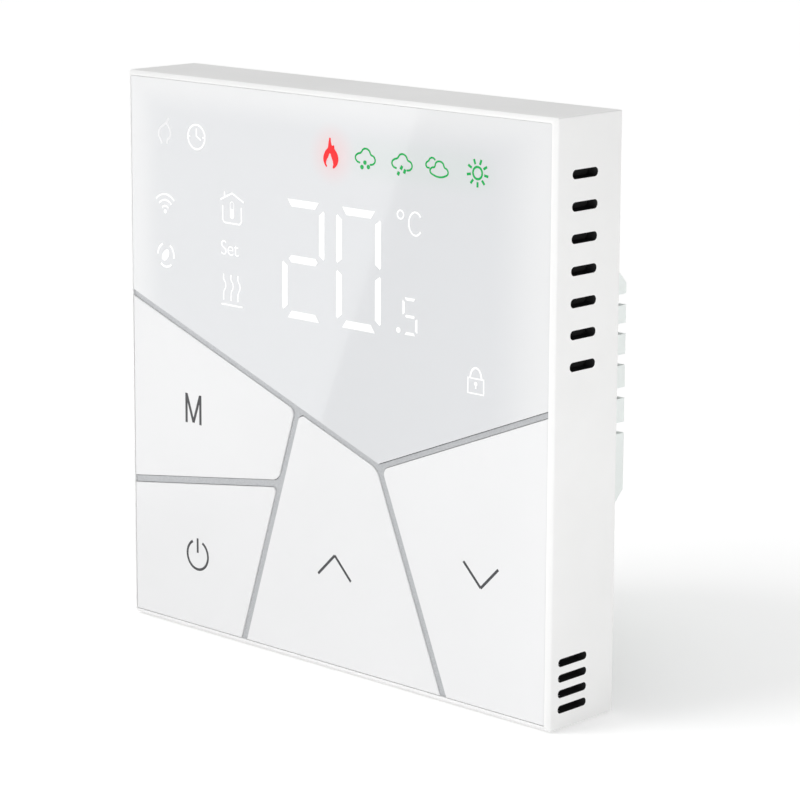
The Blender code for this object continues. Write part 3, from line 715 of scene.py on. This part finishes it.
lock += [plates([ring((28.92, 4.55), 0.3)]), lines([[(28.92, 4.5), (28.92, 3.85)]], 0.24)]
words = bpy.data.curves.new("set_word", "FONT")
words.body = "Set"
words.size = 3.2 * MM
words.offset = -0.02 * MM
words.extrude = SIGN_HEIGHT
words.space_character = 0.97
set_word = flat_mesh(words)
set_word.data.transform(Matrix.Translation((-22.55 * MM, 0, 16.8 * MM)))
signs = {"sign_clock": clock, "sign_radio": radio, "sign_eco": eco, "sign_house": house}
signs.update({"sign_heat": heat, "sign_lock": lock, "sign_set": [set_word]})
for name, parts in signs.items():
    sign(name, parts, lit_white, "front_unit")

FLAME = (
    (0.46, 36.5), (0.66, 35.85), (0.94, 35.35), (1.22, 35.45), (1.38, 34.95), (1.88, 34.35),
    (2.14, 33.65), (2.04, 32.92), (1.68, 32.4), (1.06, 32.12), (1.14, 32.6), (1.03, 33.15),
    (0.76, 33.7), (0.44, 34.2), (0.12, 33.65), (-0.2, 33.2), (-0.34, 32.75), (-0.16, 32.22),
    (-0.48, 32.4), (-0.76, 32.85), (-0.86, 33.45), (-0.7, 34.05), (-0.36, 34.6), (0.02, 34.98),
    (0.16, 35.55), (0.26, 36.1),
)
sign("sign_flame", [plates([FLAME], smooth=True)], lit_red, "front_unit")
unlit = [
    (-33.75, 36.35), (-34.3, 35.6), (-35.2, 35.0), (-35.9, 34.4), (-36.0, 33.6), (-35.6, 32.9),
    (-35.3, 32.3),
]
unlit_side = [(-34.4, 35.7), (-33.75, 35.0), (-33.4, 34.2), (-33.5, 33.5), (-34.05, 33.0), (-34.2, 32.4)]
flame_lines = [lines([unlit, unlit_side], 0.34, smooth=True)]
sign("sign_flame_dim", flame_lines, lit_dim, "front_unit")

CLOUD = (
    (-1.0, -0.75), (-1.75, -0.45), (-1.95, 0.12), (-1.45, 0.6), (-0.85, 0.8), (-0.35, 1.35), (0.2, 1.5),
    (0.9, 1.22), (1.25, 0.67), (1.85, 0.4), (2.12, -0.2), (1.75, -0.7), (1.05, -0.88),
)
snow = [lines([[(7.42 + x * 0.95, 34.14 + z * 0.95) for x, z in CLOUD]], 0.29, smooth=True)]
flakes = [((7.44, 33.55), 0.33), ((6.86, 32.85), 0.34), ((8.12, 32.98), 0.33)]
snow += [plates([ring(centre, radius, 12) for centre, radius in flakes])]
rain = [lines([[(14.58 + x * 0.95, 34.04 + z * 0.95) for x, z in CLOUD]], 0.29, smooth=True)]
drops = [[(14.7, 33.8), (14.4, 33.25)], [(14.1, 32.9), (13.85, 32.4)], [(15.3, 33.35), (15.05, 32.75)]]
rain += [lines(drops, 0.5)]
front_cloud = [(20.45, 33.2), (20.02, 33.62), (20.36, 34.12), (20.84, 34.24), (21.16, 34.9), (21.77, 35.12)]
front_cloud += [(22.42, 34.9), (22.74, 34.34), (23.2, 34.1), (23.42, 33.62), (23.06, 33.2)]
rear_cloud = [
    (19.95, 34.02), (19.35, 34.16), (19.28, 34.66), (19.74, 35.02), (20.05, 35.4), (20.56, 35.5),
    (21.02, 35.22),
]
cloudy = [lines([front_cloud], 0.28, closed=True, smooth=True), lines([rear_cloud], 0.28, smooth=True)]
rays = [math.radians(270 + 40 * index) for index in range(9)]
sun_rays = [[(28.9 + r * math.cos(a), 34.2 + r * math.sin(a)) for r in (1.25, 2.0)] for a in rays]
sunny = [lines([ring((28.9, 34.2), 0.85)], 0.34, closed=True), lines(sun_rays, 0.38)]
weather = {"sign_snow": snow, "sign_rain": rain, "sign_cloudy": cloudy, "sign_sunny": sunny}
for name, parts in weather.items():
    sign(name, parts, lit_green, "front_unit")

MARK_WIDTH = 0.42
letter = [[(-30.35, -10.3), (-30.35, -5.7)], [(-30.3, -5.8), (-28.8, -10.1)]]
letter += [[(-28.8, -10.1), (-27.3, -5.8)], [(-27.25, -5.7), (-27.25, -10.3)]]
sign("mark_menu", [lines(letter, 0.5)], dark_ink, "menu_key")
power_mark = [arc((-28.1, -30.95), 2.3, 118, 422, 30), [(-28.1, -28.3), (-28.1, -30.6)]]
sign("mark_power", [lines(power_mark, MARK_WIDTH)], dark_ink, "power_key")
up_mark = [[(-1.95, -28.75), (1.45, -25.4)], [(1.45, -25.4), (4.75, -28.75)]]
sign("mark_up", [lines(up_mark, MARK_WIDTH)], dark_ink, "up_key")
down_mark = [[(26.9, -21.35), (30.2, -24.65)], [(30.2, -24.65), (33.45, -21.35)]]
sign("mark_down", [lines(down_mark, MARK_WIDTH)], dark_ink, "down_key")

# ---- Painted shade behind the vents ----
# A near-black sheet with a fine woven relief stands behind each row of vents in the case. It is painted
# shade, and makes the vents look black from outside.
SHADE_SHEET_INNER, SHADE_SHEET_OUTER = 40.75 * MM, 41.12 * MM
SHADE_SHEET_FRONT, SHADE_SHEET_BACK = case_low.y + 3.45 * MM, case_low.y + 9.5 * MM
SHADE_SHEET_LOW, SHADE_SHEET_HIGH = 6.5 * MM, 37.2 * MM
SENSOR_SHADE_SHEET_FRONT = case_low.y + 1.5 * MM
SENSOR_SHADE_SHEET_LOW, SENSOR_SHADE_SHEET_HIGH = -41 * MM, -32.5 * MM
# Near-black colour of the sheets, as painted shade.
shade_sheet_black, shader, place = new_material("shade_sheet_black")
weave = place.noise(0.00025, 1.0)
weave.mix((0.004, 0.004, 0.004, 1), (0.012, 0.012, 0.012, 1)).feed(shader, "Base Color")
(0.85 + weave * 0.1).feed(shader, "Roughness")
weave.bump(0.00004).feed(shader, "Normal")
for side in (-1, 1):
    left, right = sorted((side * SHADE_SHEET_INNER, side * SHADE_SHEET_OUTER))
    shade_sheet = block("vent_shade_sheet", (left, SHADE_SHEET_FRONT, SHADE_SHEET_LOW), (right, SHADE_SHEET_BACK, SHADE_SHEET_HIGH))
    finish_piece(shade_sheet, "front_unit", shade_sheet_black)
sensor_low = (SHADE_SHEET_INNER, SENSOR_SHADE_SHEET_FRONT, SENSOR_SHADE_SHEET_LOW)
sensor_shade_sheet = block("sensor_shade_sheet", sensor_low, (SHADE_SHEET_OUTER, SHADE_SHEET_BACK, SENSOR_SHADE_SHEET_HIGH))
finish_piece(sensor_shade_sheet, "front_unit", shade_sheet_black)

# ---- Rear housing ----
# The box that goes into the wall holds the mains parts. It is moulded in a flame-proof plastic of a
# slightly green white, with its edges rounded, and is screwed to the wall plate.
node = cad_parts
rear_white = moulded("rear_housing_white", (0.90, 0.945, 0.925), 0.42, 0.0003, 0.00001)
alone(node["rear_housing"])
bpy.ops.object.duplicate()
housing = bpy.context.object
housing.name = "rear_housing_shell"
bpy.ops.object.mode_set(mode="EDIT")
bpy.ops.mesh.select_all(action="SELECT")
bpy.ops.mesh.remove_doubles(threshold=1e-6)
bpy.ops.mesh.dissolve_limited(angle_limit=math.radians(1))
bpy.ops.object.mode_set(mode="OBJECT")
soft_edges(housing, 0.12 * MM, 2, 50)
finish_piece(housing, "rear_unit", rear_white)
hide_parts("rear_housing")

# ---- Wall plate and screws ----
# The plate against the wall is punched from sheet steel and the screws are turned. Both are zinc
# plated and cleared with a chromate, which leaves pale clouds and a faint yellow.


def zinc_plate(name, tone, streak):
    """Zinc plating: pale clouds, fine lines from rolling or turning, and a dull satin gloss."""
    material, shader, place = new_material(name)
    x, y, z = (place.along(axis) for axis in "XYZ")
    stretched = place.node("ShaderNodeCombineXYZ", {}, {0: x * streak, 1: y, 2: z})
    rolled = stretched.noise(0.0004, 2.0, seed=3.0)
    cloud = place.noise(0.006, 4.0, seed=1.0)
    spangle = place.noise(0.0015, 2.0, seed=8.0)
    shade = (cloud * 0.6 + spangle * 0.25 + rolled * 0.15).ramp(0.3, 0.72)
    shade.mix(tinted(tone, 0.82), tinted(tone, 1.08)).feed(shader, "Base Color")
    (0.26 + cloud * 0.16 + rolled * 0.1).feed(shader, "Roughness")
    (0.82 + spangle * 0.16).feed(shader, "Metallic")
    rolled.bump(0.000004).feed(shader, "Normal")
    return material


def dress(material, *names):
    """Gives CAD pieces a finish, and leaves their shape as it is."""
    for name in names:
        for held in node[name].material_slots:
            held.material = material


plate_zinc = zinc_plate("plate_zinc", (0.62, 0.63, 0.635), 0.06)
screw_zinc = zinc_plate("screw_zinc", (0.64, 0.63, 0.60), 1.0)
dress(plate_zinc, "base_plate")
for group, count in (("terminal", 8), ("housing", 4), ("cover", 4)):
    dress(screw_zinc, *[f"{group}_screw_{number}" for number in range(1, count + 1)])

# ---- Circuit boards ----
# Both boards are glass-fibre laminate with copper tracks under green lacquer. The tracks show as a
# lighter green, the bare pads are tinned, and the weave of the glass shows as a fine square relief.
board_lacquer, shader, place = new_material("board_lacquer")
x, z = place.along("X"), place.along("Z")
PITCH = 0.00254
NO_TRACK, TRACK_HALF, NO_PAD, PAD_RADIUS, BLUR = 0.58, 0.11, 0.74, 0.2, 0.02
GLASS_WEAVE = 0.0009


def at_random(across, high, seed):
    """One random number for each pair of whole numbers."""
    pair = across.node("ShaderNodeCombineXYZ", {}, {0: across, 1: high, 2: seed})
    return pair.node("ShaderNodeTexWhiteNoise", {"noise_dimensions": "3D"}, {"Vector": pair})


def tracks(along, over, seed):
    """Straight tracks that run along one way in random stretches, about 0.3 mm wide."""
    rows = over * (2 / PITCH)
    lane = along.math("FLOOR", along * (1 / (3 * PITCH)))
    present = at_random(lane, rows.math("FLOOR", rows), seed).ramp(NO_TRACK, NO_TRACK + BLUR)
    middle = rows.math("ABSOLUTE", rows.math("FRACT", rows) - 0.5)
    return present * (1 - middle.ramp(TRACK_HALF, TRACK_HALF + 1.5 * BLUR))


grid_x, grid_z = x * (1 / PITCH), z * (1 / PITCH)
near_x, near_z = grid_x.math("FRACT", grid_x) - 0.5, grid_z.math("FRACT", grid_z) - 0.5
pad_far = x.math("SQRT", near_x * near_x + near_z * near_z)
pad_chance = at_random(grid_x.math("FLOOR", grid_x), grid_z.math("FLOOR", grid_z), 5.0)
pad = pad_chance.ramp(NO_PAD, NO_PAD + BLUR) * (1 - pad_far.ramp(PAD_RADIUS, PAD_RADIUS + BLUR))
track = x.math("MAXIMUM", tracks(x, z, 1.0), tracks(z, x, 2.0))
cloud = place.noise(0.004, 3.0)
lacquer = cloud.mix((0.010, 0.10, 0.038, 1), (0.016, 0.14, 0.05, 1))
copper = track.mix(lacquer, (0.03, 0.22, 0.075, 1))
pad.mix(copper, (0.66, 0.66, 0.63, 1)).feed(shader, "Base Color")
(pad * 0.85).feed(shader, "Metallic")
(0.22 + cloud * 0.14 + pad * 0.12).feed(shader, "Roughness")
glass_x = x.math("SINE", x * (2 * math.pi / GLASS_WEAVE))
glass_z = z.math("SINE", z * (2 * math.pi / GLASS_WEAVE))
(glass_x * glass_z * 0.1 + track * 0.5 + pad * 0.4).bump(0.00002).feed(shader, "Normal")
dress(board_lacquer, "power_board", "display_board")

# ---- Relay, transformer and the other parts on the power board ----
# A blue moulded relay and a transformer wound in yellow tape, with a grey box of film, two sleeved
# capacitors, a dipped varistor and a fuse in its black holder.
relay_blue = moulded("relay_blue_case", (0.035, 0.16, 0.40), 0.34, 0.0004, 0.000006)
dress(relay_blue, "relay")
film_grey = moulded("film_box_grey", (0.50, 0.51, 0.50), 0.42, 0.0003, 0.000008)
dress(film_grey, "film_capacitor")
black_plastic = moulded("black_glass_filled", (0.022, 0.022, 0.024), 0.42, 0.00016, 0.000008)
dress(black_plastic, "fuse", "link_socket")

winding_tape, shader, place = new_material("winding_tape")
y, z = place.along("Y"), place.along("Z")
TAPE_WIDTH = 0.0021
layer = y.math("FRACT", (z + y) * (1 / TAPE_WIDTH))
lap = layer.ramp(0.0, 0.08)
cloud = place.noise(0.003, 3.0, seed=2.0)
taped = cloud.mix((0.70, 0.50, 0.035, 1), (0.85, 0.65, 0.08, 1))
lap.mix((0.42, 0.27, 0.02, 1), taped).feed(shader, "Base Color")
(0.3 + cloud * 0.2 - lap * 0.05).feed(shader, "Roughness")
(lap + cloud * 0.6).bump(0.00005).feed(shader, "Normal")
dress(winding_tape, "transformer")

shrink_sleeve, shader, place = new_material("shrink_sleeve")
z = place.along("Z")
wave = place.noise(0.0025, 2.0, seed=6.0)
STRIPE_STEP, STRIPE_START = 0.013, 0.80
stripe = z.math("FRACT", z * (1 / STRIPE_STEP) + 0.2).ramp(STRIPE_START, STRIPE_START + 0.03)
sleeve = wave.mix((0.012, 0.014, 0.03, 1), (0.022, 0.026, 0.05, 1))
stripe.mix(sleeve, (0.45, 0.46, 0.48, 1)).feed(shader, "Base Color")
(0.16 + wave * 0.12).feed(shader, "Roughness")
wave.bump(0.00003).feed(shader, "Normal")
dress(shrink_sleeve, "input_capacitor", "output_capacitor")

dipped_blue, shader, place = new_material("dipped_blue")
wave = place.noise(0.0018, 3.0, seed=4.0)
wave.ramp(0.3, 0.7).mix((0.02, 0.075, 0.24, 1), (0.03, 0.12, 0.34, 1)).feed(shader, "Base Color")
(0.18 + wave * 0.2).feed(shader, "Roughness")
wave.bump(0.00006).feed(shader, "Normal")
dress(dipped_blue, "varistor")

# ---- Terminal block ----
# The mains wires go into eight screw clamps. They sit in one moulding of green nylon, in the mouth
# at the foot of the rear housing.
nylon_green = moulded("terminal_nylon_green", (0.035, 0.27, 0.11), 0.3, 0.0004, 0.00001)
dress(nylon_green, "terminal_block")

# ---- Display module and its inner cover ----
# The module's light box is moulded in chalk white so that it spreads light, and the flat cover that
# closes the front unit from behind is the same plastic as the case.
light_box = moulded("light_box_white", (0.83, 0.83, 0.82), 0.6, 0.0003, 0.00001)
dress(light_box, "display_module")
cover_white = moulded("cover_white", (0.80, 0.80, 0.79), 0.5, 0.00025, 0.000012)
dress(cover_white, "inner_cover")

# ---- Switches, plungers, sensor and radio ----
# Each key pushes a black plunger onto a small black switch. The room sensor is a black cap behind
# its own vents, and the radio module sits under a tinned can.
names = [label + part for label in ("menu", "power", "up", "down") for part in ("_switch", "_plunger")]
dress(black_plastic, *names, "room_sensor")

tinned, shader, place = new_material("tinned_can")
cloud = place.noise(0.004, 3.0, seed=5.0)
fine = place.noise(0.0003, 2.0, seed=2.0)
shade = (cloud * 0.7 + fine * 0.3).ramp(0.3, 0.7)
shade.mix((0.58, 0.58, 0.56, 1), (0.76, 0.76, 0.73, 1)).feed(shader, "Base Color")
(0.22 + cloud * 0.2).feed(shader, "Roughness")
(0.9 + fine * 0.08).feed(shader, "Metallic")
(cloud + fine * 0.2).bump(0.00003).feed(shader, "Normal")
dress(tinned, "wifi_module")

# ---- Link between the units ----
# Gilt pins stand in a black strip on the front unit. They push into the socket on the power board
# as the unit is put on the wall, and carry its supply and signals.
header_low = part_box("link_header")[0]
gilt, shader, place = new_material("gilt_pins")
x, y = place.along("X"), place.along("Y")
wear = place.noise(0.0008, 3.0)
STRIP_DEPTH = 2.5 * MM
pin = (y - header_low.y).ramp(STRIP_DEPTH - 0.05 * MM, STRIP_DEPTH + 0.05 * MM)
gold = wear.mix((0.80, 0.56, 0.20, 1), (0.92, 0.72, 0.34, 1))
pin.mix((0.02, 0.02, 0.022, 1), gold).feed(shader, "Base Color")
pin.feed(shader, "Metallic")
(0.42 - pin * 0.24 + wear * 0.12).feed(shader, "Roughness")
wear.bump(0.00001).feed(shader, "Normal")
dress(gilt, "link_header")
